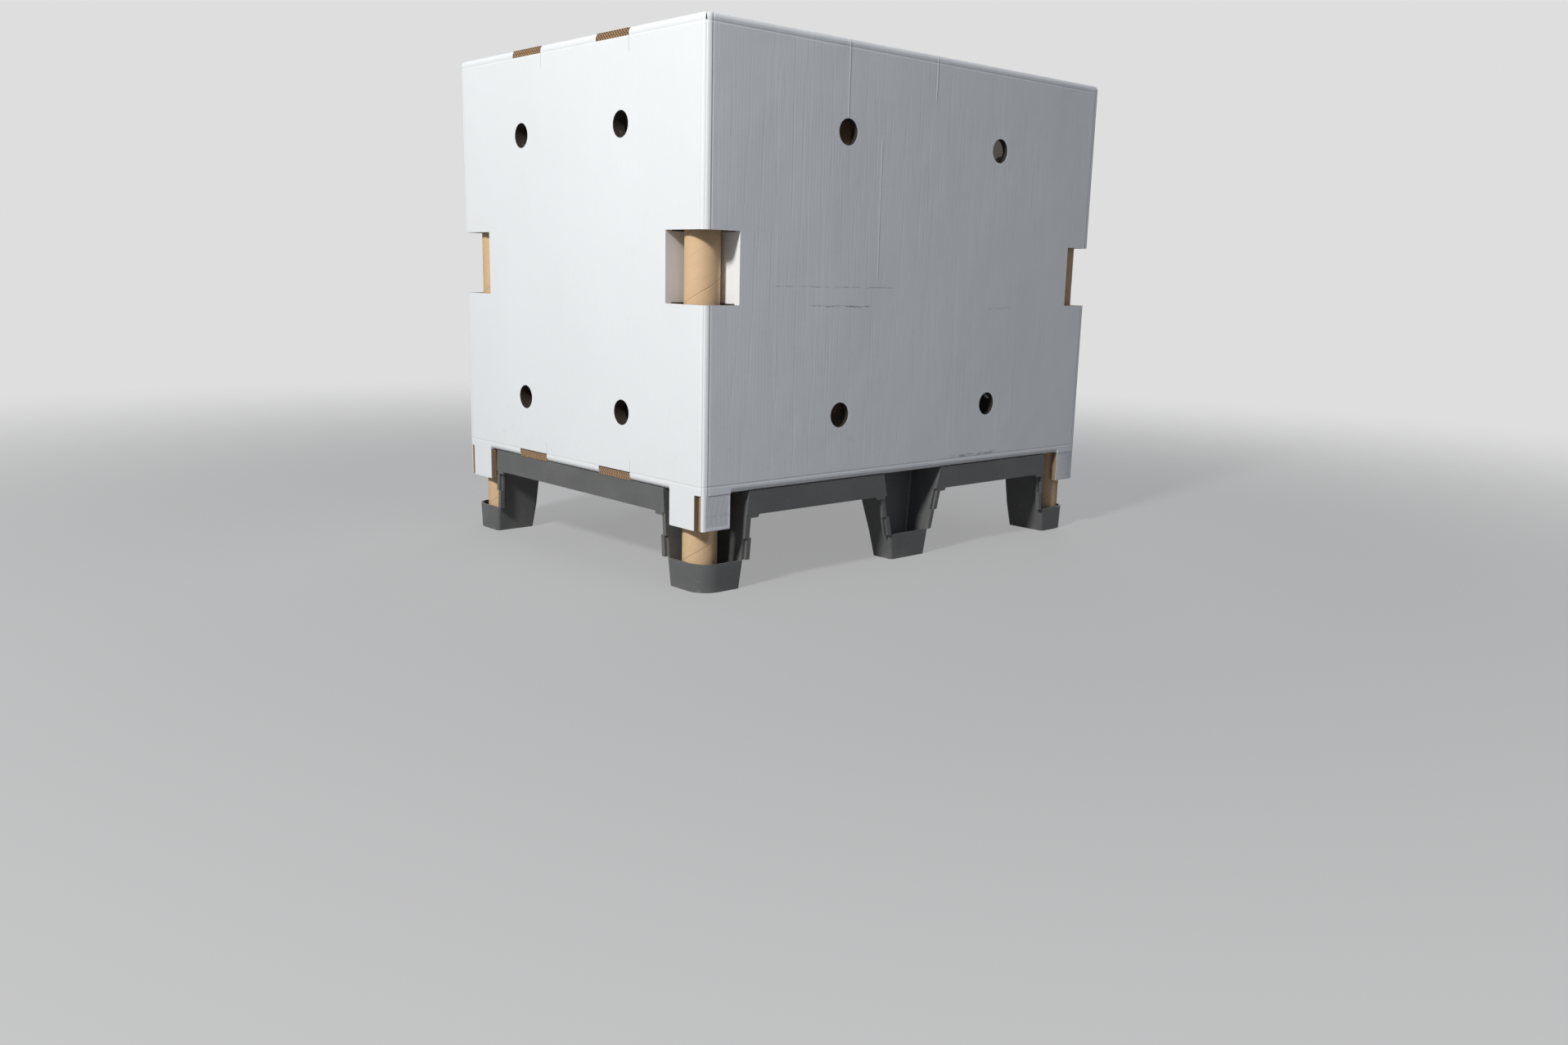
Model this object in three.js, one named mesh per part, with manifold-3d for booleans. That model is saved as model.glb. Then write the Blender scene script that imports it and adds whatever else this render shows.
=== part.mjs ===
// Bulk pallet box: a corrugated sleeve with paper corner tubes, on a nestable plastic pallet.
// Millimetres, +Z up, +X along the long side. The origin lies on the ground under the middle.

import * as THREE from 'three';
import { mergeVertices } from 'three/addons/utils/BufferGeometryUtils.js';
import Module from 'manifold-3d';

// Whole box
const LENGTH = 1200;
const WIDTH = 900;
const HEIGHT = 1070;
const BOARD = 14;
const TOUCH = 0.3;
const OVERCUT = 1;

// Sleeve: the folds and the flat flaps at its top and bottom
const CORNER_RADIUS = 15;
const FOLD_RADIUS = 11;
const SHORT_FLAP = 140;
const LONG_FLAP = 160;
const SEAM = 3;
const ARC_STEPS = 5;

// Sleeve: how far its wall panels reach in past the folds, and the cut between two panels
const END_DEPTH = 16;
const SIDE_DEPTH = 18;
const PANEL_CUT = 0.1;

// Sleeve: windows at the corners and the flaps that fold in from them
const WINDOW_BOTTOM = 556;
const WINDOW_HEIGHT = 137;
const WINDOW_ON_LONG_SIDE = 86;
const WINDOW_ON_SHORT_SIDE = 118;
const FLAP_CLEARANCE = 2;

// Sleeve: round vent holes, two rows on each wall
const VENT_DIAMETER = 52;
const VENT_SPACING_LONG = 476;
const VENT_SPACING_SHORT = 370;
const VENT_FROM_TOP = 176;
const VENT_FROM_DECK = 137;
const VENT_SIDES = 32;

// Sleeve: leg tabs that hang down over the pallet's corners
const TAB_LENGTH = 70;
const LONG_TAB_START = 4;
const LONG_TAB_END = 72;
const SHORT_TAB_START = 24;
const SHORT_TAB_END = 102;
const TAB_SETBACK = 1.2;

// Sleeve: slots in the folds of the short sides, and the liner tabs that fill them
const SLOT_LENGTH = 112;
const SLOT_SPACING = 316;
const SLOT_CLEARANCE = 0.8;
const SLOT_HEADROOM = 3;
const LOCK_SETBACK = 2;
const LINER_MARGIN = 4;

// Pallet: deck, rim and the ribs below the deck
const DECK_TOP = 196;
const DECK_THICKNESS = 5;
const RIM_HEIGHT = 49;
const RIM_THICKNESS = 5;
const RIM_INSET = 3;
const BRACKET_DROP = 6;
const BRACKET_LENGTH = 22;
const RIB_THICKNESS = 4;
const RIB_HEIGHT = 30;
const RIB_PITCH = 150;

// Pallet: cup feet. Reaches are measured in from the sleeve's outer faces.
const LIP_HEIGHT = 57;
const CUP_WALL = 4;
const CUP_FLOOR = 5;
const CUP_INSET = 8;
const CUP_OUTER_RADIUS = 42;
const CUP_INNER_RADIUS = 8;
const CORNER_CUP_REACH = { long: [106, 114, 126], short: [112, 119, 130] };
const MIDDLE_CUP_HALF_WIDTH = [55, 64, 97];
const MIDDLE_CUP_DEPTH = [66, 75, 95];

// Pallet: the stepped flange along each upright edge of a cup's open front
const FLANGE_WIDTH = 10;
const FLANGE_DEPTH = 6;
const FLANGE_STEP = 7;
const FLANGE_STEP_HEIGHT = 100;

// Corner tubes, placed by the sleeve's outer corner
const TUBE_DIAMETER = 70;
const TUBE_WALL = 5;
const TUBE_FROM_SHORT_SIDE = 50;
const TUBE_FROM_LONG_SIDE = 68;
const CLOSE_TUBE_INSET = 50.6;
const TUBE_SIDES = 48;
const TUBE_CLEARANCE = 5;

// Tape patch over one leg tab
const TAPE_THICKNESS = 0.6;
const TAPE_START = 10;
const TAPE_MARGIN = 1;

const SLEEVE_BOTTOM = DECK_TOP + TOUCH;
const FLOOR_TOP = SLEEVE_BOTTOM + BOARD;
const LEDGE_UNDERSIDE = HEIGHT - BOARD;
const RIM_BOTTOM = DECK_TOP - RIM_HEIGHT;
const TAB_BOTTOM = SLEEVE_BOTTOM - TAB_LENGTH;
const SIDES = [-1, 1];
const CORNERS = SIDES.flatMap((sideX) => SIDES.map((sideY) => [sideX, sideY]));

const wasm = await Module();
wasm.setup();

function solidOf(geometry) {
  geometry.deleteAttribute('normal');
  geometry.deleteAttribute('uv');
  const merged = mergeVertices(geometry);
  const vertProperties = new Float32Array(merged.attributes.position.array);
  const triVerts = new Uint32Array(merged.index.array);
  return new wasm.Manifold(new wasm.Mesh({ numProp: 3, vertProperties, triVerts }));
}

function geometryOf(solid) {
  const mesh = solid.getMesh();
  const geometry = new THREE.BufferGeometry();
  geometry.setAttribute('position', new THREE.BufferAttribute(mesh.vertProperties, 3));
  geometry.setIndex(new THREE.BufferAttribute(mesh.triVerts, 1));
  geometry.computeVertexNormals();
  return geometry;
}

const joined = (solids) => solids.reduce((all, solid) => all.add(solid));
const cutBy = (solid, cutters) => solid.subtract(joined(cutters));
const sorted = (range) => [...range].sort((a, b) => a - b);

// A box between two values on each axis.
function block(x, y, z) {
  const ranges = [x, y, z].map(sorted);
  const size = ranges.map(([low, high]) => high - low);
  const middle = ranges.map(([low, high]) => (low + high) / 2);
  return solidOf(new THREE.BoxGeometry(...size).translate(...middle));
}

// A right prism over an outline in the X-Y plane.
function prism(outline, z) {
  const [low, high] = sorted(z);
  const shape = new THREE.Shape(outline.map(([x, y]) => new THREE.Vector2(x, y)));
  const options = { depth: high - low, bevelEnabled: false };
  return solidOf(new THREE.ExtrudeGeometry(shape, options).translate(0, 0, low));
}

// A prism over an outline of [along, height] points, standing on a wall.
// A wall on the Y side runs along X; a wall on the X side runs along Y.
function wallPrism(outline, depth, onYSide) {
  const [low, high] = sorted(depth);
  const shape = new THREE.Shape(outline.map(([along, height]) => new THREE.Vector2(along, height)));
  const options = { depth: high - low, bevelEnabled: false };
  const geometry = new THREE.ExtrudeGeometry(shape, options).rotateX(Math.PI / 2);
  if (onYSide) return solidOf(geometry.translate(0, high, 0));
  return solidOf(geometry.translate(0, -low, 0).rotateZ(Math.PI / 2));
}

// A solid through convex rings of [x, y] points at rising heights, all with the same point count.
function stack(levels) {
  const count = levels[0].ring.length;
  const positions = levels.flatMap(({ z, ring }) => ring.flatMap(([x, y]) => [x, y, z]));
  const index = [];
  for (let level = 0; level + 1 < levels.length; level += 1) {
    for (let point = 0; point < count; point += 1) {
      const low = level * count + point;
      const lowNext = level * count + ((point + 1) % count);
      index.push(low, lowNext, lowNext + count, low, lowNext + count, low + count);
    }
  }
  const top = (levels.length - 1) * count;
  for (let point = 1; point + 1 < count; point += 1) {
    index.push(0, point + 1, point, top, top + point, top + point + 1);
  }
  const geometry = new THREE.BufferGeometry();
  geometry.setAttribute('position', new THREE.Float32BufferAttribute(positions, 3));
  geometry.setIndex(index);
  return solidOf(geometry);
}

// A ring round a rectangle, anticlockwise, with one radius for each of its four corners.
function roundedRing([x0, x1], [y0, y1], radii) {
  const corners = [[x0, y0, 2], [x1, y0, 3], [x1, y1, 0], [x0, y1, 1]];
  return corners.flatMap(([x, y, quarter], corner) => {
    const radius = radii[corner];
    const centreX = x + (x === x0 ? radius : -radius);
    const centreY = y + (y === y0 ? radius : -radius);
    return Array.from({ length: ARC_STEPS + 1 }, (_, step) => {
      const angle = (quarter + step / ARC_STEPS) * (Math.PI / 2);
      return [centreX + radius * Math.cos(angle), centreY + radius * Math.sin(angle)];
    });
  });
}

// Places measured in from the sleeve's outer faces, at the corner named by two signs.
const alongX = (sideX, inward) => sideX * (LENGTH / 2 - inward);
const alongY = (sideY, inward) => sideY * (WIDTH / 2 - inward);

function cornerBlock([sideX, sideY], fromShortSide, fromLongSide, z) {
  const x = fromShortSide.map((inward) => alongX(sideX, inward));
  const y = fromLongSide.map((inward) => alongY(sideY, inward));
  return block(x, y, z);
}

// The shell's outside, with rounded folds at the top and the bottom.
function sleeveRing(inset) {
  const radius = CORNER_RADIUS - inset;
  const x = [inset - LENGTH / 2, LENGTH / 2 - inset];
  const y = [inset - WIDTH / 2, WIDTH / 2 - inset];
  return roundedRing(x, y, [radius, radius, radius, radius]);
}

function sleeveOutside() {
  const levels = [];
  for (let step = 0; step <= ARC_STEPS; step += 1) {
    const angle = (step / ARC_STEPS) * (Math.PI / 2);
    const inset = FOLD_RADIUS * (1 - Math.sin(angle));
    levels.push({ z: SLEEVE_BOTTOM + FOLD_RADIUS * (1 - Math.cos(angle)), ring: sleeveRing(inset) });
  }
  const upper = levels.map(({ z, ring }) => ({ z: HEIGHT + SLEEVE_BOTTOM - z, ring })).reverse();
  return stack([...levels, ...upper]);
}

function sleeveCavity(bottom, top) {
  const x = LENGTH / 2 - BOARD;
  const y = WIDTH / 2 - BOARD;
  return block([-x, x], [-y, y], [bottom, top]);
}

// A thin cut through a flap layer, from one corner-based point to another.
function seam([sideX, sideY], [fromA, fromB], [toA, toB], z) {
  const start = new THREE.Vector2(alongX(sideX, fromA), alongY(sideY, fromB));
  const end = new THREE.Vector2(alongX(sideX, toA), alongY(sideY, toB));
  const along = end.clone().sub(start).normalize();
  const across = new THREE.Vector2(-along.y, along.x).multiplyScalar(SEAM / 2);
  start.addScaledVector(along, -OVERCUT);
  end.addScaledVector(along, OVERCUT);
  const outline = [[start, 1], [start, -1], [end, -1], [end, 1]].map(([point, side]) => {
    const moved = point.clone().addScaledVector(across, side);
    return [moved.x, moved.y];
  });
  return prism(outline, z);
}

function flapSeams() {
  const top = [LEDGE_UNDERSIDE - OVERCUT, HEIGHT + OVERCUT];
  const bottom = [SLEEVE_BOTTOM - OVERCUT, FLOOR_TOP + OVERCUT];
  const mitreEnd = [SHORT_FLAP, LONG_FLAP];
  const seams = CORNERS.flatMap((corner) => [
    seam(corner, [0, 0], mitreEnd, top),
    seam(corner, [BOARD, BOARD], mitreEnd, bottom),
    seam(corner, mitreEnd, [SHORT_FLAP, WIDTH / 2], bottom),
  ]);
  seams.push(seam([-1, 1], [SHORT_FLAP, WIDTH / 2], [LENGTH - SHORT_FLAP, WIDTH / 2], bottom));
  return seams;
}

// Straight wall ends at the corners, which run on below the deck as leg tabs.
function legTabs() {
  const top = SLEEVE_BOTTOM + FOLD_RADIUS + OVERCUT;
  const shell = stack([{ z: TAB_BOTTOM, ring: sleeveRing(0) }, { z: top, ring: sleeveRing(0) }]);
  const walls = shell.subtract(sleeveCavity(TAB_BOTTOM - OVERCUT, top + OVERCUT));
  const height = [TAB_BOTTOM - OVERCUT, top + OVERCUT];
  const zones = CORNERS.map((corner) => (
    cornerBlock(corner, [-OVERCUT, LONG_TAB_END], [-OVERCUT, SHORT_TAB_END], height)));
  const below = [TAB_BOTTOM - OVERCUT, SLEEVE_BOTTOM];
  const cuts = CORNERS.flatMap((corner) => [
    cornerBlock(corner, [-OVERCUT, LONG_TAB_START], [-OVERCUT, SHORT_TAB_START], below),
    cornerBlock(corner, [-OVERCUT, BOARD + OVERCUT], [BOARD, SHORT_TAB_START], below),
    cornerBlock(corner, [-OVERCUT, LONG_TAB_END + OVERCUT], [-OVERCUT, TAB_SETBACK], below),
  ]);
  return cutBy(walls.intersect(joined(zones)), cuts);
}

// The flaps that lie on the deck leave the corners open for the tubes.
function tubeNotches() {
  const pastTube = TUBE_DIAMETER / 2 + TUBE_CLEARANCE;
  const fromShortSide = [BOARD, TUBE_FROM_SHORT_SIDE + pastTube];
  const fromLongSide = [BOARD, TUBE_FROM_LONG_SIDE + pastTube];
  const z = [SLEEVE_BOTTOM - OVERCUT, FLOOR_TOP + OVERCUT];
  return CORNERS.map((corner) => cornerBlock(corner, fromShortSide, fromLongSide, z));
}

function windowCuts() {
  const z = [WINDOW_BOTTOM, WINDOW_BOTTOM + WINDOW_HEIGHT];
  const through = BOARD + OVERCUT;
  return CORNERS.flatMap((corner) => [
    cornerBlock(corner, [-OVERCUT, WINDOW_ON_LONG_SIDE], [-OVERCUT, through], z),
    cornerBlock(corner, [-OVERCUT, through], [-OVERCUT, WINDOW_ON_SHORT_SIDE], z),
  ]);
}

// Each window's two flaps fold in square to their walls and form a pocket round the tube.
const flapHeight = [WINDOW_BOTTOM + FLAP_CLEARANCE, WINDOW_BOTTOM + WINDOW_HEIGHT - FLAP_CLEARANCE];

function endWallFlaps(end) {
  const reach = [0, WINDOW_ON_SHORT_SIDE - FLAP_CLEARANCE];
  const hinge = [WINDOW_ON_SHORT_SIDE, WINDOW_ON_SHORT_SIDE + BOARD];
  return joined(SIDES.map((side) => cornerBlock([end, side], reach, hinge, flapHeight)));
}

function sideWallFlaps(side) {
  const reach = [0, WINDOW_ON_LONG_SIDE - FLAP_CLEARANCE];
  const hinge = [WINDOW_ON_LONG_SIDE, WINDOW_ON_LONG_SIDE + BOARD];
  return joined(SIDES.map((end) => cornerBlock([end, side], hinge, reach, flapHeight)));
}

const ventHeights = [HEIGHT - VENT_FROM_TOP, DECK_TOP + VENT_FROM_DECK];

function ventCylinder(length) {
  return new THREE.CylinderGeometry(VENT_DIAMETER / 2, VENT_DIAMETER / 2, length, VENT_SIDES);
}

function longSideVents() {
  return ventHeights.flatMap((z) => SIDES.map((side) => (
    solidOf(ventCylinder(WIDTH + 2 * OVERCUT).translate((side * VENT_SPACING_LONG) / 2, 0, z)))));
}

function shortSideVents() {
  return ventHeights.flatMap((z) => SIDES.map((side) => {
    const bore = ventCylinder(LENGTH + 2 * OVERCUT).rotateZ(Math.PI / 2);
    return solidOf(bore.translate(0, (side * VENT_SPACING_SHORT) / 2, z));
  }));
}

// A liner tab crosses the wall at a fold: upright behind the wall, then flat out to its face.
const linerReach = [BOARD + TOUCH, 2 * BOARD + TOUCH];
const topLock = [LEDGE_UNDERSIDE - LOCK_SETBACK, HEIGHT - LOCK_SETBACK];
const bottomLock = [SLEEVE_BOTTOM + TOUCH, SLEEVE_BOTTOM + TOUCH + BOARD];

function lockSpan(side, margin) {
  const middle = (side * SLOT_SPACING) / 2;
  const half = SLOT_LENGTH / 2 + margin;
  return [middle - half, middle + half];
}

function lockSlots() {
  const inner = linerReach[1] + SLOT_CLEARANCE;
  const slotTop = [topLock[0] - TOUCH, HEIGHT + OVERCUT];
  const slotBottom = [SLEEVE_BOTTOM - OVERCUT, bottomLock[1] + SLOT_HEADROOM];
  return CORNERS.flatMap(([end, side]) => {
    const x = [alongX(end, -OVERCUT), alongX(end, inner)];
    return [slotTop, slotBottom].map((z) => block(x, lockSpan(side, 0), z));
  });
}

function foldedSheet() {
  const openX = LENGTH / 2 - SHORT_FLAP;
  const openY = WIDTH / 2 - LONG_FLAP;
  const mouth = block([-openX, openX], [-openY, openY], [LEDGE_UNDERSIDE - OVERCUT, HEIGHT + OVERCUT]);
  const shell = sleeveOutside().subtract(sleeveCavity(FLOOR_TOP, LEDGE_UNDERSIDE)).add(legTabs());
  const cuts = [mouth, ...flapSeams(), ...tubeNotches(), ...windowCuts(), ...longSideVents()];
  cuts.push(...shortSideVents(), ...lockSlots());
  return cutBy(shell, cuts);
}

// The sheet's panels, each a node: two walls on the short sides, two on the long sides, and
// the flat flaps of the ledge and the floor, which the seams part from one another.
function sleevePanels() {
  const sheet = foldedSheet();
  const height = [TAB_BOTTOM - OVERCUT, HEIGHT + OVERCUT];
  const allY = [-WIDTH / 2 - OVERCUT, WIDTH / 2 + OVERCUT];
  const betweenEnds = LENGTH / 2 - END_DEPTH - PANEL_CUT;
  const betweenSides = WIDTH / 2 - SIDE_DEPTH - PANEL_CUT;
  const insideX = [-betweenEnds, betweenEnds];
  const walls = SIDES.flatMap((side, number) => {
    const endZone = block([alongX(side, -OVERCUT), alongX(side, END_DEPTH)], allY, height);
    const sideZone = block(insideX, [alongY(side, -OVERCUT), alongY(side, SIDE_DEPTH)], height);
    return [
      [`sleeve_end_${number + 1}`, sheet.intersect(endZone).add(endWallFlaps(side))],
      [`sleeve_side_${number + 1}`, sheet.intersect(sideZone).add(sideWallFlaps(side))],
    ];
  });
  const flaps = sheet.intersect(block(insideX, [-betweenSides, betweenSides], height));
  return [...walls, ...flaps.decompose().map((flap) => [flapName(flap), flap])];
}

function flapName(flap) {
  const { min, max } = flap.boundingBox();
  const [x, y, z] = min.map((low, axis) => (low + max[axis]) / 2);
  const layer = z > HEIGHT / 2 ? 'ledge' : 'floor';
  const onEnd = Math.abs(x) > Math.abs(y);
  return `${layer}_${onEnd ? 'end' : 'side'}_${(onEnd ? x : y) < 0 ? 1 : 2}`;
}

function endLiner(end) {
  const half = WIDTH / 2 - WINDOW_ON_SHORT_SIDE - BOARD - LINER_MARGIN;
  const x = linerReach.map((inward) => alongX(end, inward));
  const panel = block(x, [-half, half], [FLOOR_TOP + TOUCH, LEDGE_UNDERSIDE - TOUCH]);
  const locks = SIDES.flatMap((side) => {
    const y = lockSpan(side, -SLOT_CLEARANCE);
    const out = [alongX(end, SLOT_CLEARANCE), x[1]];
    return [
      block(out, y, topLock),
      block(x, y, [topLock[0] - BOARD, topLock[1]]),
      block(out, y, bottomLock),
      block(x, y, [bottomLock[0], bottomLock[1] + BOARD]),
    ];
  });
  return cutBy(joined([panel, ...locks]), shortSideVents());
}

// A paper tube stands in the pallet's corner cup and carries the ledge at its top.
function tube() {
  const bottom = CUP_FLOOR + TOUCH;
  const top = LEDGE_UNDERSIDE - TOUCH;
  const outer = TUBE_DIAMETER / 2;
  const inner = outer - TUBE_WALL;
  const profile = [[inner, bottom], [outer, bottom], [outer, top], [inner, top], [inner, bottom]];
  const points = profile.map(([radius, z]) => new THREE.Vector2(radius, z));
  return new THREE.LatheGeometry(points, TUBE_SIDES).rotateX(Math.PI / 2);
}

// The tube at high X and low Y stands nearer to its corner than the others.
function tubePlace(sideX, sideY) {
  const shifted = sideX > 0 && sideY < 0;
  return shifted ? [CLOSE_TUBE_INSET, CLOSE_TUBE_INSET] : [TUBE_FROM_SHORT_SIDE, TUBE_FROM_LONG_SIDE];
}

// Cup feet: three levels, at the ground, at the lip of the open front and at the deck.
const cupLevels = [0, LIP_HEIGHT, DECK_TOP];
const levelAt = (values, z) => {
  const upper = z > LIP_HEIGHT ? 1 : 0;
  const share = (z - cupLevels[upper]) / (cupLevels[upper + 1] - cupLevels[upper]);
  return values[upper] + share * (values[upper + 1] - values[upper]);
};
const outerInset = (z) => CUP_INSET + (z / DECK_TOP) * (RIM_INSET - CUP_INSET);

// A cup is stacked from rings that a function gives for each height and wall offset.
function cupSolid(ringAt, heights, wall) {
  return stack(heights.map((z) => ({ z, ring: ringAt(z, wall) })));
}

const outsideHeights = [0, LIP_HEIGHT, DECK_TOP];
const insideHeights = [CUP_FLOOR, LIP_HEIGHT, DECK_TOP, DECK_TOP + OVERCUT];

// Rings are drawn for the corner at low X and low Y, and mirrored to the others in order.
function mirroredRing(ring, sideX, sideY) {
  const mirrored = ring.map(([x, y]) => [-sideX * x, -sideY * y]);
  return sideX * sideY > 0 ? mirrored : mirrored.reverse();
}

function cornerCupRing([sideX, sideY]) {
  return (z, wall) => {
    const outer = outerInset(z) + wall;
    const x = [outer, levelAt(CORNER_CUP_REACH.long, z) - wall].map((inward) => alongX(-1, inward));
    const y = [outer, levelAt(CORNER_CUP_REACH.short, z) - wall].map((inward) => alongY(-1, inward));
    const round = CUP_OUTER_RADIUS - wall;
    const tight = CUP_INNER_RADIUS - wall;
    return mirroredRing(roundedRing(x, y, [round, tight, tight, tight]), sideX, sideY);
  };
}

function middleCupRing(sideY) {
  return (z, wall) => {
    const half = levelAt(MIDDLE_CUP_HALF_WIDTH, z) - wall;
    const depths = [outerInset(z) + wall, levelAt(MIDDLE_CUP_DEPTH, z) - wall];
    const y = depths.map((inward) => alongY(-1, inward));
    const tight = CUP_INNER_RADIUS - wall;
    return mirroredRing(roundedRing([-half, half], y, [tight, tight, tight, tight]), 1, sideY);
  };
}

// The stepped edge of an open front: [place along the wall, height], from the lip to the deck.
// A place is given by a function of height, plus the step on the stretch that stands back.
function steppedEdge(placeAt, outward, stepped) {
  const stops = [LIP_HEIGHT, FLANGE_STEP_HEIGHT, RIM_BOTTOM, DECK_TOP];
  const points = stops.slice(0, -1).flatMap((low, stretch) => {
    const shift = stepped === stretch ? FLANGE_STEP : 0;
    return [low, stops[stretch + 1]].map((z) => [placeAt(z) + outward * shift, z]);
  });
  const repeats = (point, number) => number > 0 && String(point) === String(points[number - 1]);
  return points.filter((point, number) => !repeats(point, number));
}

// One upright edge of an open front, as its flange, the web behind it and the rim bracket.
// edge: placeAt(z) along the wall, outward sign there, the stepped stretch and the wall's side.
function frontEdge({ placeAt, outward, stepped, wallSide, onYSide }) {
  const depthAt = (inward) => (onYSide ? alongY(wallSide, inward) : alongX(wallSide, inward));
  const inner = steppedEdge(placeAt, outward, stepped);
  const shifted = (points, by) => points.map(([along, z]) => [along + outward * by, z]).reverse();
  const plain = [[placeAt(LIP_HEIGHT), LIP_HEIGHT], [placeAt(DECK_TOP), DECK_TOP]];
  const flangeDepth = [CUP_INSET - RIM_INSET, CUP_INSET - RIM_INSET + FLANGE_DEPTH];
  const webDepth = [flangeDepth[1] - TOUCH, flangeDepth[1] + CUP_WALL];
  const flange = wallPrism([...inner, ...shifted(inner, FLANGE_WIDTH)], flangeDepth.map(depthAt), onYSide);
  const webWidth = FLANGE_WIDTH + FLANGE_STEP;
  const web = wallPrism([...plain, ...shifted(plain, webWidth)], webDepth.map(depthAt), onYSide);
  const start = placeAt(RIM_BOTTOM) + outward * FLANGE_WIDTH / 2;
  const end = start + outward * (FLANGE_WIDTH / 2 + BRACKET_LENGTH);
  const bracketOutline = [
    [start, RIM_BOTTOM - BRACKET_DROP],
    [end - outward * BRACKET_DROP / 2, RIM_BOTTOM - BRACKET_DROP],
    [end, RIM_BOTTOM + OVERCUT],
    [start, RIM_BOTTOM + OVERCUT],
  ];
  const bracketDepth = [RIM_INSET, RIM_INSET + RIM_THICKNESS];
  const bracket = wallPrism(bracketOutline, bracketDepth.map(depthAt), onYSide);
  return { solids: [flange, web, bracket], edge: inner, depthAt, webDepth: webDepth[1] };
}

// The cut that opens a cup's front between two stepped edges, or past the corner.
function frontCut(first, second, onYSide) {
  const above = ([along]) => [along, DECK_TOP + OVERCUT];
  const outline = [...first.edge, above(first.edge.at(-1)), above(second.edge.at(-1)), ...[...second.edge].reverse()];
  const depth = [-OVERCUT, first.webDepth].map(first.depthAt);
  return wallPrism(outline, depth, onYSide);
}

function cornerFronts([sideX, sideY]) {
  const onLong = frontEdge({
    placeAt: (z) => alongX(sideX, levelAt(CORNER_CUP_REACH.long, z) - CUP_WALL),
    outward: -sideX,
    stepped: 0,
    wallSide: sideY,
    onYSide: true,
  });
  const onShort = frontEdge({
    placeAt: (z) => alongY(sideY, levelAt(CORNER_CUP_REACH.short, z) - CUP_WALL),
    outward: -sideY,
    stepped: 0,
    wallSide: sideX,
    onYSide: false,
  });
  const pastX = { edge: onLong.edge.map(([, z]) => [alongX(sideX, -OVERCUT), z]) };
  const pastY = { edge: onShort.edge.map(([, z]) => [alongY(sideY, -OVERCUT), z]) };
  const roundCorner = [-OVERCUT, outerInset(LIP_HEIGHT) + CUP_OUTER_RADIUS];
  const cornerCut = cornerBlock([sideX, sideY], roundCorner, roundCorner, [LIP_HEIGHT, DECK_TOP + OVERCUT]);
  return {
    solids: [...onLong.solids, ...onShort.solids],
    cuts: [frontCut(onLong, pastX, true), frontCut(onShort, pastY, false), cornerCut],
  };
}

function middleFront(sideY) {
  const edges = SIDES.map((side) => frontEdge({
    placeAt: (z) => side * (levelAt(MIDDLE_CUP_HALF_WIDTH, z) - CUP_WALL),
    outward: side,
    stepped: 1,
    wallSide: sideY,
    onYSide: true,
  }));
  return { solids: edges.flatMap(({ solids }) => solids), cuts: [frontCut(edges[0], edges[1], true)] };
}

function ribGrid(halfX, halfY) {
  const z = [DECK_TOP - DECK_THICKNESS - RIB_HEIGHT, DECK_TOP - DECK_THICKNESS + OVERCUT];
  const places = (half) => {
    const count = Math.floor((half - RIB_PITCH / 2) / RIB_PITCH);
    return Array.from({ length: 2 * count + 1 }, (_, rib) => (rib - count) * RIB_PITCH);
  };
  const across = (place) => [place - RIB_THICKNESS / 2, place + RIB_THICKNESS / 2];
  return [
    ...places(halfX).map((x) => block(across(x), [-halfY, halfY], z)),
    ...places(halfY).map((y) => block([-halfX, halfX], across(y), z)),
  ];
}

function pallet() {
  const halfX = LENGTH / 2 - RIM_INSET;
  const halfY = WIDTH / 2 - RIM_INSET;
  const innerX = halfX - RIM_THICKNESS;
  const innerY = halfY - RIM_THICKNESS;
  const tray = block([-halfX, halfX], [-halfY, halfY], [RIM_BOTTOM, DECK_TOP]).subtract(
    block([-innerX, innerX], [-innerY, innerY], [RIM_BOTTOM - OVERCUT, DECK_TOP - DECK_THICKNESS]));
  const rings = [...CORNERS.map(cornerCupRing), ...SIDES.map(middleCupRing)];
  const fronts = [...CORNERS.map(cornerFronts), ...SIDES.map(middleFront)];
  const cups = rings.map((ringAt) => cupSolid(ringAt, outsideHeights, 0));
  const hollows = rings.map((ringAt) => cupSolid(ringAt, insideHeights, CUP_WALL));
  const cuts = [...hollows, ...fronts.flatMap((front) => front.cuts)];
  const body = joined([tray, ...ribGrid(innerX + OVERCUT, innerY + OVERCUT), ...cups]);
  return cutBy(body, cuts).add(joined(fronts.flatMap(({ solids }) => solids)));
}

// A strip of tape covers the long-side leg tab at the corner of low X and low Y.
function legTape() {
  const depth = [TAB_SETBACK - TOUCH - TAPE_THICKNESS, TAB_SETBACK - TOUCH];
  const z = [TAB_BOTTOM + TAPE_MARGIN, SLEEVE_BOTTOM - TAPE_MARGIN];
  return cornerBlock([-1, -1], [TAPE_START, LONG_TAB_END - TAPE_MARGIN], depth, z);
}

const materials = {
  plastic: { color: 0x4b4a46, roughness: 0.6, metalness: 0 },
  whiteBoard: { color: 0xeef1f1, roughness: 0.75, metalness: 0 },
  kraft: { color: 0xb98e62, roughness: 0.85, metalness: 0 },
  tubePaper: { color: 0xd8b384, roughness: 0.7, metalness: 0 },
  tape: { color: 0xb9bcc2, roughness: 0.3, metalness: 0 },
};

function piece(name, geometry, material) {
  const mesh = new THREE.Mesh(geometry, new THREE.MeshStandardMaterial(material));
  mesh.name = name;
  return mesh;
}

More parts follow.
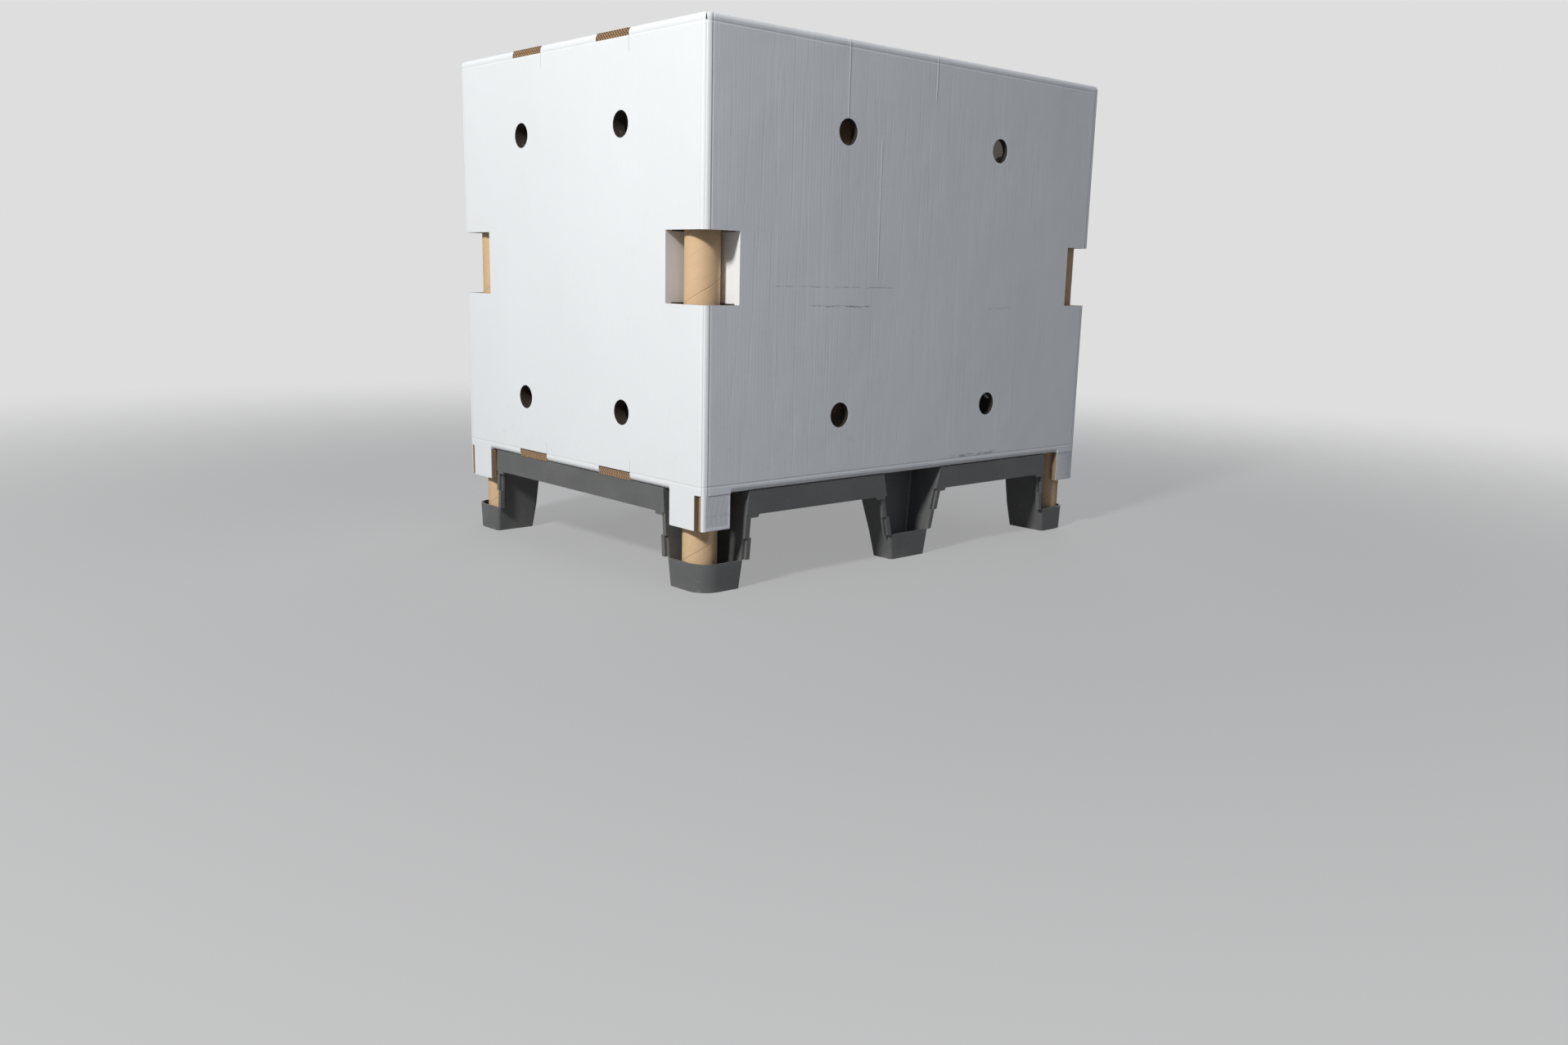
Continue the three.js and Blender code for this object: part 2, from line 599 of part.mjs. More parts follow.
const palletBox = new THREE.Group();
palletBox.name = 'bulk_pallet_box';
palletBox.add(piece('pallet', geometryOf(pallet()), materials.plastic));
sleevePanels().forEach(([name, panel]) => {
  palletBox.add(piece(name, geometryOf(panel), materials.whiteBoard));
});
palletBox.add(piece('leg_tape', geometryOf(legTape()), materials.tape));
SIDES.forEach((end, number) => {
  palletBox.add(piece(`end_liner_${number + 1}`, geometryOf(endLiner(end)), materials.kraft));
});
CORNERS.forEach(([sideX, sideY], number) => {
  const mesh = piece(`corner_tube_${number + 1}`, tube(), materials.tubePaper);
  const [fromShortSide, fromLongSide] = tubePlace(sideX, sideY);
  mesh.position.set(alongX(sideX, fromShortSide), alongY(sideY, fromLongSide), 0);
  palletBox.add(mesh);
});

export default palletBox;
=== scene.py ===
"""Dresses the bulk pallet box: white board sleeve, brown liners, paper tubes, moulded pallet and stage."""

import math

import bmesh
import bpy
import numpy as np
from mathutils import Matrix, Vector


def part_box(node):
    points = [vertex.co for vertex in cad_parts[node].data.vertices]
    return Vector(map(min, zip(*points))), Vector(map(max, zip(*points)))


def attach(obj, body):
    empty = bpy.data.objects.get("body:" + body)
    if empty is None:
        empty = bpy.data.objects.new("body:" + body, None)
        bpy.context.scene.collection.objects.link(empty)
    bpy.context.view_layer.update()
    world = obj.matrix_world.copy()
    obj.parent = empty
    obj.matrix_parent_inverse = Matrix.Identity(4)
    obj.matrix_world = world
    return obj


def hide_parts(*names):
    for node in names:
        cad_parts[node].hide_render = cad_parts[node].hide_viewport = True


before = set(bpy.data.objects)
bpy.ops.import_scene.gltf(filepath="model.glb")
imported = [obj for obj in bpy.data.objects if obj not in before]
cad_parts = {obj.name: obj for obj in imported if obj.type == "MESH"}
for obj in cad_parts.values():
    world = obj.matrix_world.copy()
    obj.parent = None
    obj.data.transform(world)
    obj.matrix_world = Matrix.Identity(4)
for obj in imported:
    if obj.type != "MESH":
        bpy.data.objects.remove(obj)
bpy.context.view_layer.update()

bl_info = {
    "name": "Bulk pallet box",
    "version": (1, 0, 0),
    "blender": (4, 5, 0),
    "location": "3D View > Sidebar > Pallet box",
    "description": "Builds the board sleeve, liners, tubes, pallet and stage round the packed model",
    "category": "Object",
}

BODY = "root"
SHEET_PANELS = [
    f"{layer}_{wall}_{number}"
    for layer in ("sleeve", "ledge", "floor") for wall in ("end", "side") for number in (1, 2)]
HALF_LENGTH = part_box("sleeve_end_2")[1].x
HALF_WIDTH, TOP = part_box("sleeve_side_2")[1].yz
DECK_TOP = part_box("pallet")[1].z
SLEEVE_BOTTOM = DECK_TOP + 0.0003
BOARD = 0.014
CORNER_RADIUS = 0.015
FOLD_RADIUS = 0.011
TAB_SETBACK = 0.0012
# Middle planes of the cuts between the sheet's panels, and the widest gap that is stitched
PANEL_CUTS = (HALF_LENGTH - 0.01605, HALF_WIDTH - 0.01805)
PANEL_GAP = 0.0002
WINDOW_HEIGHTS = (0.556, 0.693)
WINDOW_ON_LONG_SIDE = 0.086
WINDOW_ON_SHORT_SIDE = 0.118
SLOT_MIDDLES = (-0.158, 0.158)
SLOT_LENGTH = 0.112
SLOT_HEIGHTS = ((1.054, 1.068), (0.1966, 0.2106))
SLIT_HEIGHTS = ((1.024, 1.054), (0.21, 0.24))
CREASE_DEPTH = 0.0165
CREASE_SPACING = 0.016
SKIN_MARGIN = 0.0004
LINER_FACE = HALF_LENGTH - 0.0008
LINER_BACK = HALF_LENGTH - 0.0283
LIP_HEIGHT = 0.057
VENT_RADIUS = 0.026
VENT_ON_LONG_SIDE = 0.238
VENT_ON_SHORT_SIDE = 0.185
VENT_HEIGHTS = (0.333, 0.894)

PHOTO_WIDTH = 1916
PHOTO_FOCAL = 1560.7
SENSOR = 36.0
TOP_MARGIN_PX = 26
CAMERA_PLACE = (-2.0988, -2.3309, 0.6188)
CAMERA_RIGHT = (0.7423, -0.6696, 0.0233)
CAMERA_DOWN = (-0.1223, -0.1695, -0.9779)
CAMERA_FORWARD = (0.6588, 0.7231, -0.2077)
KEY_PLACE = (-5.1, -1.5, 3.9)
FILL_PLACE = (4.6, 3.6, 3.2)
LAMP_TARGET = (0.0, 0.0, 0.55)


class Value:
    """A number that runs through a material; arithmetic on it adds Math nodes."""

    def __init__(self, finish, socket):
        self.finish = finish
        self.socket = socket

    def math(self, operation, *values):
        node = self.finish.add("ShaderNodeMath", {"operation": operation}, dict(enumerate(values)))
        return Value(self.finish, node.outputs[0])

    def __add__(self, other):
        return self.math("ADD", self, other)

    def __sub__(self, other):
        return self.math("SUBTRACT", self, other)

    def __rsub__(self, other):
        return self.math("SUBTRACT", other, self)

    def __mul__(self, other):
        return self.math("MULTIPLY", self, other)

    def __truediv__(self, other):
        return self.math("DIVIDE", self, other)

    def __abs__(self):
        return self.math("ABSOLUTE", self)

    def __gt__(self, other):
        return self.math("GREATER_THAN", self, other)

    def __lt__(self, other):
        return self.math("LESS_THAN", self, other)

    __radd__ = __add__
    __rmul__ = __mul__

    def least(self, other):
        return self.math("MINIMUM", self, other)

    def most(self, other):
        return self.math("MAXIMUM", self, other)

    def sine(self):
        return self.math("SINE", self)

    def part(self):
        return self.math("FRACT", self)

    def root(self):
        return self.math("SQRT", self)

    def rise(self, low, high):
        """0 below low, 1 above high, and a smooth step between them."""
        settings = {"interpolation_type": "SMOOTHSTEP"}
        sockets = {"Value": self, "From Min": low, "From Max": high}
        node = self.finish.add("ShaderNodeMapRange", settings, sockets)
        return Value(self.finish, node.outputs[0])

    def ridge(self, middle, width):
        """1 at middle, falling to 0 at width to either side."""
        return 1 - abs(self - middle).rise(0.0, width)


class Finish:
    """A procedural material while its nodes are put together."""

    def __init__(self, name, **constants):
        self.material = bpy.data.materials.new(name)
        self.material.use_nodes = True
        self.tree = self.material.node_tree
        self.tree.nodes.clear()
        self.shader = self.add("ShaderNodeBsdfPrincipled")
        for socket, value in constants.items():
            self.feed(socket.replace("_", " "), value)
        self.output = self.add("ShaderNodeOutputMaterial", None, {"Surface": self.shader.outputs[0]})
        self.place = self.add("ShaderNodeTexCoord").outputs["Object"]
        self.x, self.y, self.z = self.split(self.place)

    def add(self, kind, settings=None, sockets=None):
        """A node of that kind, with its settings made first and then its sockets filled or linked."""
        node = self.tree.nodes.new(kind)
        for key, value in (settings or {}).items():
            setattr(node, key, value)
        for key, value in (sockets or {}).items():
            self.fill(node.inputs[key], value)
        return node

    def fill(self, socket, value):
        value = getattr(value, "socket", value)
        if isinstance(value, bpy.types.NodeSocket):
            self.tree.links.new(value, socket)
        elif socket.type == "RGBA" and len(value) == 3:
            socket.default_value = (*value, 1.0)
        else:
            socket.default_value = value

    def feed(self, name, value):
        self.fill(self.shader.inputs[name], value)

    def split(self, vector):
        node = self.add("ShaderNodeSeparateXYZ", None, {0: vector})
        return [Value(self, socket) for socket in node.outputs]

    def join(self, x, y, z):
        return self.add("ShaderNodeCombineXYZ", None, {0: x, 1: y, 2: z}).outputs[0]

    def noise(self, scale, detail, where=None):
        sockets = {"Vector": where or self.place, "Scale": scale, "Detail": detail}
        return Value(self, self.add("ShaderNodeTexNoise", None, sockets).outputs[0])

    def mix(self, first, second, factor):
        node = self.add("ShaderNodeMix", {"data_type": "RGBA"}, {0: factor, 6: first, 7: second})
        return node.outputs[2]

    def shade(self, colour, factor):
        """The colour times a grey factor."""
        vector = self.join(factor, factor, factor)
        settings = {"data_type": "RGBA", "blend_type": "MULTIPLY"}
        return self.add("ShaderNodeMix", settings, {0: 1.0, 6: colour, 7: vector}).outputs[2]

    def relief(self, height):
        """A bump whose height is in metres."""
        sockets = {"Height": height, "Distance": 1.0, "Strength": 1.0}
        self.feed("Normal", self.add("ShaderNodeBump", None, sockets).outputs[0])


def scene_look(name):
    return getattr(bpy.context.scene, "palletbox_" + name)


def board_depth(finish):
    """Metres below the white skin, by the distance to a box with rounded corners and rounded folds.

    Level distance: the length of the positive parts of |x| and |y| past the corner centres, less the
    radius. It is combined with the distance past the fold centres in the same way. Leg tabs use the
    level distance."""
    past_x = abs(finish.x) - (HALF_LENGTH - CORNER_RADIUS)
    past_y = abs(finish.y) - (HALF_WIDTH - CORNER_RADIUS)
    out_x, out_y = past_x.most(0.0), past_y.most(0.0)
    level = (out_x * out_x + out_y * out_y).root() + past_x.most(past_y).least(0.0) - CORNER_RADIUS
    past_level = level + FOLD_RADIUS
    past_fold = (finish.z - TOP).most(SLEEVE_BOTTOM - finish.z) + FOLD_RADIUS
    out_level, out_fold = past_level.most(0.0), past_fold.most(0.0)
    rounded = (out_level * out_level + out_fold * out_fold).root() + past_level.most(past_fold).least(0.0)
    on_tab = finish.z < SLEEVE_BOTTOM - 0.0004
    return (FOLD_RADIUS - rounded) * (1 - on_tab) + (0 - level - TAB_SETBACK) * on_tab


def flute_pattern(finish, depth, along, pitch, level_cut):
    """Paper shown at a cut edge: flat plies at every third of the board, and a wave between each two.

    On a level cut the wave is reach times the sine of the place along the wall; on an upright cut it
    is a band."""
    ply = BOARD / 3
    place = (depth / ply).part() - 0.5
    flat_ply = abs(place).rise(0.38, 0.44)
    wave = (along * (2 * math.pi / pitch)).sine() * 0.36
    medium = 1 - abs(place - wave).rise(0.05, 0.13)
    band = 0.35 + 0.3 * finish.noise(240.0, 2.0)
    return flat_ply.most(medium * level_cut + band * (1 - level_cut))


def brown_paper(finish, colour, dark):
    """Recycled brown paper: a base colour with cloudy patches, fine fibres and a few dark flecks."""
    cloud = finish.noise(22.0, 4.0)
    fibre = finish.noise(1.0, 3.0, finish.join(finish.x * 900, finish.y * 900, finish.z * 260))
    fleck = finish.noise(700.0, 1.0).rise(0.68, 0.76)
    tone = 0.84 + 0.2 * cloud + 0.14 * (fibre - 0.5) - 0.18 * fleck
    return finish.mix(finish.shade(colour, tone), dark, (cloud - 0.62).rise(0.0, 0.25) * 0.25)


def wall_marks(finish):
    """Creases, scratches and smudges on the white skin: (dark mask, relief in metres)."""
    x, y, z = finish.x, finish.y, finish.z
    wobble = 0.003 * finish.noise(9.0, 2.0)
    near_side = y < -HALF_WIDTH + BOARD
    relief, dark = None, None
    for middle, low, high, deep in (
        (-0.237, 0.93, 1.06, 0.0005),
        (0.021, 1.0, 1.06, 0.0005),
        (-0.138, 0.63, 0.86, 0.0003),
        (-0.418, 0.4, 0.98, 0.00012),
        (0.33, 0.28, 0.7, 0.00014),
    ):
        reach = z.rise(low - 0.04, low) * (1 - z.rise(high, high + 0.04))
        line = (x + wobble).ridge(middle, 0.003) * reach * deep
        relief = line if relief is None else relief + line
    for low, high, middle, width, amount in (
        (-0.42, -0.095, 0.592, 0.0022, 0.5),
        (-0.32, -0.165, 0.5535, 0.0035, 0.95),
        (0.225, 0.292, 0.551, 0.003, 0.7),
        (0.131, 0.278, 0.2175, 0.005, 0.85),
    ):
        reach = x.rise(low - 0.02, low + 0.01) * (1 - x.rise(high - 0.01, high + 0.02))
        broken = finish.noise(1.0, 3.0, finish.join(x * 40, 0.0, z * 220)).rise(0.42, 0.6)
        line = (z + wobble).ridge(middle + 0.0015, width) * reach * broken * amount
        dark = line if dark is None else dark + line
    relief = relief * near_side - dark * near_side * 0.0003
    return (dark * near_side).least(1.0), relief


def vent_bores(finish):
    """1 within the round vent holes: the distance to the hole's axis is less than its radius."""
    long_wall = abs(finish.y) > HALF_WIDTH - 2 * BOARD
    on_long_wall = (abs(finish.x) - VENT_ON_LONG_SIDE) * long_wall
    across = on_long_wall + (abs(finish.y) - VENT_ON_SHORT_SIDE) * (1 - long_wall)
    up = (abs(finish.z - sum(VENT_HEIGHTS) / 2)) - (VENT_HEIGHTS[1] - VENT_HEIGHTS[0]) / 2
    return (across * across + up * up).root() < VENT_RADIUS + SKIN_MARGIN


def slit_lines(finish):
    """Thin cuts at the right-hand end of each slot on the short walls, seen from outside; the mask darkens
    them as painted shade in the cut.
    """
    end_wall = abs(finish.x) > HALF_LENGTH - BOARD
    slits = None
    for middle in SLOT_MIDDLES:
        edge = middle - SLOT_LENGTH / 2
        for low, high in SLIT_HEIGHTS:
            for side in (-1, 1):
                here = finish.y.ridge(side * edge, 0.0011) * (finish.z > low) * (finish.z < high)
                here = here * (finish.x * side < 0)
                slits = here if slits is None else slits + here
    return slits.least(1.0) * end_wall


def board_finish(name, white_skin):
    """Corrugated board: white coated outside if white_skin, brown paper elsewhere, with its flutes at every
    cut; its inner face and the vent bores are painted dark as painted shade.
    """
    look = scene_look("board")
    finish = Finish(name, Roughness=0.6, Specular_IOR_Level=0.35)
    x, y, z = finish.x, finish.y, finish.z
    brown = brown_paper(finish, look.brown, look.dark_brown)
    normal = finish.split(finish.add("ShaderNodeNewGeometry").outputs["Normal"])
    level_cut = abs(normal[2]).rise(0.6, 0.8)
    on_end = (abs(x) - HALF_LENGTH) > (abs(y) - HALF_WIDTH)
    along = y * on_end + x * (1 - on_end)
    depth = board_depth(finish)
    paper = flute_pattern(finish, depth, along, look.flute_pitch, level_cut)
    cut_zone = depth.rise(0.0006, 0.0012) * (1 - depth.rise(BOARD - 0.0009, BOARD - 0.0004))
    hollow = (1 - paper) * cut_zone
    colour = finish.mix(brown, look.hollow, hollow * 0.5)
    # Painted shade: the inner face takes the dark inner colour in place of the deep shade inside the box.
    inner_face = depth.rise(BOARD - 0.0006, BOARD - 0.0002)
    if not white_skin:
        inner_face = abs(x) < LINER_BACK + SKIN_MARGIN
    # Painted shade in the vent holes: the bores are painted near black, darker than the inner face.
    bores = vent_bores(finish)
    painted_shade_tone = (0.8 + 0.5 * finish.noise(14.0, 4.0)) * (1 - bores * 0.85)
    colour = finish.mix(colour, finish.shade(look.inner, painted_shade_tone), inner_face.most(bores * 0.93))
    waves = (along * (2 * math.pi / look.flute_pitch)).sine()
    inner_relief = waves * 0.00004 - hollow * 0.0006
    if not white_skin:
        finish.feed("Base Color", colour)
        finish.relief(inner_relief + finish.noise(500.0, 2.0) * 0.00008)
        return finish.material
    skin = depth < 0.0007
    in_window = (z > WINDOW_HEIGHTS[0]) * (z < WINDOW_HEIGHTS[1])
    long_flap = abs(x).ridge(HALF_LENGTH - WINDOW_ON_LONG_SIDE, 0.0016) > 0.3
    short_flap = abs(y).ridge(HALF_WIDTH - WINDOW_ON_SHORT_SIDE, 0.0016) > 0.3
    white = skin.most(in_window * long_flap.most(short_flap))
    dark_marks, mark_relief = wall_marks(finish)
    slits = slit_lines(finish)
    cloud = finish.noise(3.5, 4.0)
    grime = finish.noise(34.0, 5.0).rise(0.58, 0.82) * (0.3 + 0.7 * (1 - z.rise(0.2, 0.42)))
    speck = finish.noise(420.0, 1.0).rise(0.72, 0.8)
    tone = 0.965 + 0.05 * cloud - 0.06 * grime - 0.05 * speck + waves * 0.004
    printed = finish.shade(look.white, tone)
    printed = finish.mix(printed, look.smudge, dark_marks)
    # Painted shade in the slits: the cuts are darkened with the smudge colour.
    printed = finish.mix(printed, look.smudge, slits * 0.55)
    finish.feed("Base Color", finish.mix(colour, printed, white))
    finish.feed("Roughness", white * -0.2 + 0.78 + 0.08 * cloud)
    corner = (abs(x) - HALF_LENGTH) - (abs(y) - HALF_WIDTH)
    near_corner = (abs(x) > HALF_LENGTH - 0.03) * (abs(y) > HALF_WIDTH - 0.03)
    scores = corner.ridge(0.0, 0.0034)
    for offset in (CREASE_SPACING, -CREASE_SPACING):
        scores = scores + corner.ridge(offset, 0.0034)
    fold = z.ridge(TOP - CREASE_DEPTH, 0.003) + z.ridge(SLEEVE_BOTTOM + CREASE_DEPTH, 0.003)
    soft_crease = finish.noise(1.0, 3.0, finish.join(along * 26, z * 1.2, on_end * 7)).ridge(0.5, 0.03)
    press = finish.noise(1.0, 2.0, finish.join(x * 5, y * 5, z * 4))
    outer = waves * 0.000018 + mark_relief + press * 0.003 - soft_crease * 0.00008
    outer = outer - scores * near_corner * 0.0005 - fold * 0.0004 - slits * 0.0004
    outer = outer + finish.noise(650.0, 2.0) * 0.00004
    finish.relief(outer * white + inner_relief * (1 - white))
    return finish.material


def tube_finish():
    """Spiral-wound brown paper: the seam follows the tube's UV map, one turn of u for a pitch of v."""
    look = scene_look("tube")
    finish = Finish("tube_paper", Roughness=0.7, Specular_IOR_Level=0.3)
    around, up, _ = finish.split(finish.add("ShaderNodeUVMap").outputs[0])
    turn = (up / look.seam_pitch - around).part()
    seam = 1 - (0.5 - abs(turn - 0.5)).rise(0.0, 0.012)
    strip = (up / look.seam_pitch - around + 0.37).part()
    hidden_seam = 1 - (0.5 - abs(strip - 0.5)).rise(0.0, 0.02)
    streaks = finish.noise(1.0, 4.0, finish.join(turn * 38, (up + around * 0.22) * 14, 0.0))
    fleck = finish.noise(650.0, 1.0).rise(0.66, 0.74)
    cloud = finish.noise(16.0, 4.0)
    tone = 0.82 + 0.2 * streaks + 0.14 * cloud - 0.2 * seam - 0.07 * hidden_seam - 0.15 * fleck
    finish.feed("Base Color", finish.shade(look.paper, tone))
    finish.feed("Roughness", 0.6 + 0.2 * streaks)
    seams = seam * 0.0005 + hidden_seam * 0.00012
    finish.relief(streaks * 0.00012 - seams + finish.noise(800.0, 2.0) * 0.00006)
    return finish.material


def plastic_finish():
    """Moulded plastic: fine grain, cloudy flow marks, pale scuffs on the lips and dust near the ground."""
    look = scene_look("pallet")
    finish = Finish("pallet_plastic", Specular_IOR_Level=0.45)
    z = finish.z
    flow = finish.noise(1.0, 4.0, finish.join(finish.x * 9, finish.y * 9, z * 26))
    grain = finish.noise(900.0, 2.0)
    scratch = finish.noise(1.0, 3.0, finish.join(finish.x * 30, finish.y * 30, z * 420)).rise(0.62, 0.74)
    lip = z.ridge(LIP_HEIGHT, 0.006) + z.ridge(DECK_TOP, 0.004) + z.ridge(0.0, 0.012)
    wear = (scratch * 0.35 + finish.noise(60.0, 4.0).rise(0.5, 0.72) * lip.least(1.0) * 0.7).least(1.0)
    dust = finish.noise(12.0, 5.0).rise(0.42, 0.75) * (0.18 + 0.4 * (1 - z.rise(0.0, 0.1)))
    base = finish.shade(look.plastic, 0.86 + 0.28 * flow + 0.12 * (grain - 0.5))
    base = finish.mix(base, look.scuff, wear * 0.45)
    finish.feed("Base Color", finish.mix(base, look.dust, dust * 0.5))
    finish.feed("Roughness", 0.46 + 0.16 * flow + 0.14 * wear + 0.12 * dust)
    finish.relief(grain * 0.00012 + flow * 0.0006 - scratch * 0.0001)
    return finish.material


def film_finish():
    """Clear tape: glossy, slightly cloudy, with upright streaks, a smudged line and brighter free edges; its
    pale tone is partly painted sheen.
    """
    look = scene_look("tape")
    finish = Finish("tape_film", IOR=1.48, Specular_IOR_Level=0.5)
    across, up, _ = finish.split(finish.add("ShaderNodeUVMap").outputs[0])
    streaks = finish.noise(1.0, 4.0, finish.join(across * 34, up * 1.6, 0.0))
    blots = finish.noise(1.0, 3.0, finish.join(across * 9, up * 30, 0.0)).rise(0.45, 0.6)
    smudge = up.ridge(0.42, 0.05) * blots
    edge = across.rise(0.9, 0.94) + (1 - up.rise(0.08, 0.12))
    edge = edge.least(1.0)
    # The film's pale tone is partly painted sheen: its colour stands in for part of the glossy reflection on
    # the tape.
    tone = 0.94 + 0.08 * streaks + 0.1 * edge - 0.3 * smudge
    finish.feed("Base Color", finish.shade(look.film, tone))
    finish.feed("Alpha", 0.62 + 0.18 * streaks + 0.2 * edge + 0.12 * smudge)
    finish.feed("Roughness", 0.2 + 0.25 * streaks)
    finish.relief(streaks * 0.0002)
    return finish.material


def link_piece(obj, slot, material, *nodes):
    """Gives the piece its material; the slot is not used. It rides on the body and stands for the named CAD
    nodes.
    """
    obj.data.materials.clear()
    obj.data.materials.append(material)
    if obj.name not in bpy.context.scene.collection.objects:
        bpy.context.scene.collection.objects.link(obj)
    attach(obj, BODY)
    if nodes:
        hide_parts(*nodes)
    return obj


def smooth_faces(mesh, degrees):
    mesh.polygons.foreach_set("use_smooth", np.ones(len(mesh.polygons), bool))
    mesh.set_sharp_from_angle(angle=math.radians(degrees))


def merged_copy(node, name):
    """A copy of a CAD node as one connected mesh, with its flat areas joined."""
    shell = bmesh.new()
    shell.from_mesh(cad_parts[node].data)
    bmesh.ops.remove_doubles(shell, verts=shell.verts, dist=0.00001)
    bmesh.ops.dissolve_limit(shell, angle_limit=0.004, verts=shell.verts, edges=shell.edges)
    mesh = bpy.data.meshes.new(name)
    shell.to_mesh(mesh)
    shell.free()
    if "custom_normal" in mesh.attributes:
        mesh.attributes.remove(mesh.attributes["custom_normal"])
    return bpy.data.objects.new(name, mesh)


def stitched_sheet(name):
    """The folded sheet as one closed skin: the faces on the panels' cuts go, and the edges are joined."""
    sheet = bmesh.new()
    for panel in SHEET_PANELS:
        sheet.from_mesh(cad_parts[panel].data)
    bmesh.ops.remove_doubles(sheet, verts=sheet.verts, dist=0.00001)
    on_cut = []
    for face in sheet.faces:
        middle = face.calc_center_median()
        if any(abs(face.normal[axis]) > 0.99 and abs(abs(middle[axis]) - cut) < PANEL_GAP
               for axis, cut in enumerate(PANEL_CUTS)):
            on_cut.append(face)
    bmesh.ops.delete(sheet, geom=on_cut, context="FACES")
    bmesh.ops.remove_doubles(sheet, verts=sheet.verts, dist=PANEL_GAP)
    bmesh.ops.dissolve_limit(sheet, angle_limit=0.004, verts=sheet.verts, edges=sheet.edges)
    if not all(edge.is_manifold for edge in sheet.edges):
        raise RuntimeError("the stitched sheet has open edges")
    mesh = bpy.data.meshes.new(name)
    sheet.to_mesh(mesh)
    sheet.free()
    if "custom_normal" in mesh.attributes:
        mesh.attributes.remove(mesh.attributes["custom_normal"])
    return bpy.data.objects.new(name, mesh)


def soften_edges(obj, width, degrees):
    bevel = obj.modifiers.new("rounded_edges", "BEVEL")
    bevel.width = width
    bevel.segments = 2
    bevel.limit_method = "ANGLE"
    bevel.angle_limit = math.radians(degrees)
    bevel.use_clamp_overlap = True
    level = obj.modifiers.new("flat_faces", "WEIGHTED_NORMAL")
    level.weight = 100
    level.keep_sharp = True


def grid_faces(rows, columns, close_rows, close_columns):
    """Corner numbers of the quads of a grid whose rows or columns may join end to end."""
    row = np.arange(rows if close_rows else rows - 1)
    column = np.arange(columns if close_columns else columns - 1)
    row, column = np.meshgrid(row, column, indexing="ij")
    next_row, next_column = (row + 1) % rows, (column + 1) % columns
    quads = np.stack([
        row * columns + column,
        row * columns + next_column,
        next_row * columns + next_column,
        next_row * columns + column,
    ], axis=-1)
    return quads.reshape(-1, 4), row.ravel(), column.ravel()


def mesh_from(name, points, quads):
    mesh = bpy.data.meshes.new(name)
    mesh.vertices.add(len(points))
    mesh.vertices.foreach_set("co", np.asarray(points, np.float32).ravel())
    mesh.loops.add(quads.size)
    mesh.loops.foreach_set("vertex_index", quads.astype(np.int32).ravel())
    mesh.polygons.add(len(quads))
    mesh.polygons.foreach_set("loop_start", np.arange(0, quads.size, 4, dtype=np.int32))
    mesh.update(calc_edges=True)
    mesh.validate()
    return mesh


def add_uv(mesh, corners):
    layer = mesh.uv_layers.new(name="UVMap")
    layer.data.foreach_set("uv", np.asarray(corners, np.float32).ravel())


def spiral_tube(name, node, columns=72, rows=120):
    """A paper tube as a closed wall carried round its axis.

    Outer radius: the tube's radius less a ply step that grows along each turn of the spiral, where the
    turn is the fraction of height over pitch less angle over a full turn. The rims are rounded by a
    quarter of the wall."""
    look = scene_look("tube")
    low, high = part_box(node)
    centre = (low + high) / 2
    radius = (high.x - low.x) / 2
    angle = np.linspace(0, 2 * math.pi, columns, endpoint=False)
    height = np.linspace(low.z + 0.0008, high.z - 0.0008, rows)
    turn = (height[:, None] / look.seam_pitch - angle[None, :] / (2 * math.pi)) % 1.0
    outer = radius - look.ply_step * turn ** 6 - 0.0001
    inner = np.full((2, columns), radius - look.wall)
    rim = np.array([[radius - 0.0012], [radius - look.wall + 0.0012]]) * np.ones(columns)
    profile = np.vstack([outer, rim, inner, rim[::-1]])
    level = np.concatenate([
        height, [high.z, high.z], [high.z - 0.001, low.z + 0.001], [low.z, low.z]])
    points = np.stack([
        centre.x + profile * np.cos(angle),
        centre.y + profile * np.sin(angle),
        np.repeat(level[:, None], columns, axis=1),
    ], axis=-1)
    quads, row, column = grid_faces(len(level), columns, True, True)
    mesh = mesh_from(name, points.reshape(-1, 3), quads)
    upper = level[np.minimum(row + 1, len(level) - 1)]
    left, right = column / columns, (column + 1) / columns
    corners = np.stack([left, level[row], right, level[row], right, upper, left, upper], axis=-1)
    add_uv(mesh, corners)
    smooth_faces(mesh, 40)
    return bpy.data.objects.new(name, mesh)


def paper_ribbon(along, middle, inner, outer, thickness):
    """A closed thin sheet on end: its middle line is middle(along), and it runs in x from inner to outer."""
    half = thickness / 2
    count = len(along)
    x = np.array([inner, outer, outer, inner]) * np.ones((count, 1))
    z = middle[:, None] + np.array([half, half, -half, -half])
    points = np.stack([x, np.repeat(along[:, None], 4, axis=1), z], axis=-1).reshape(-1, 3)
    quads, _, _ = grid_faces(count, 4, False, True)
    ends = np.array([[0, 3, 2, 1], np.arange(4) + 4 * (count - 1)])
    if outer < inner:
        return points, np.vstack([quads[:, ::-1], ends[:, ::-1]])
    return points, np.vstack([quads, ends])


def fluted_ends(name):
    """The liners' tab ends: flat plies, and waves of reach times the sine of the place along the tab."""
    look = scene_look("board")
    points, quads, count = [], [], 0
    for side in (-1, 1):
        inner, outer = side * (LINER_FACE - look.flute_recess - 0.0005), side * LINER_FACE
        for low, high in SLOT_HEIGHTS:
            for middle in SLOT_MIDDLES:
                half = SLOT_LENGTH / 2 - 0.0012
                along = np.linspace(middle - half, middle + half, 150)
                gap = (high - low - 0.0008) / look.flute_layers
                for layer in range(look.flute_layers + 1):
                    flat = np.full_like(along, low + 0.0004 + layer * gap)
                    ribbons = [paper_ribbon(along, flat, inner, outer, 0.0007)]
                    if layer < look.flute_layers:
                        swing = np.sin(2 * math.pi * along / look.flute_pitch + layer)
                        wave = flat + gap / 2 + (gap / 2 - 0.0008) * swing
                        ribbons.append(paper_ribbon(along, wave, inner, outer, 0.0009))
                    for ribbon_points, ribbon_quads in ribbons:
                        points.append(ribbon_points)
                        quads.append(ribbon_quads + count)
                        count += len(ribbon_points)
    return bpy.data.objects.new(name, mesh_from(name, np.vstack(points), np.vstack(quads)))


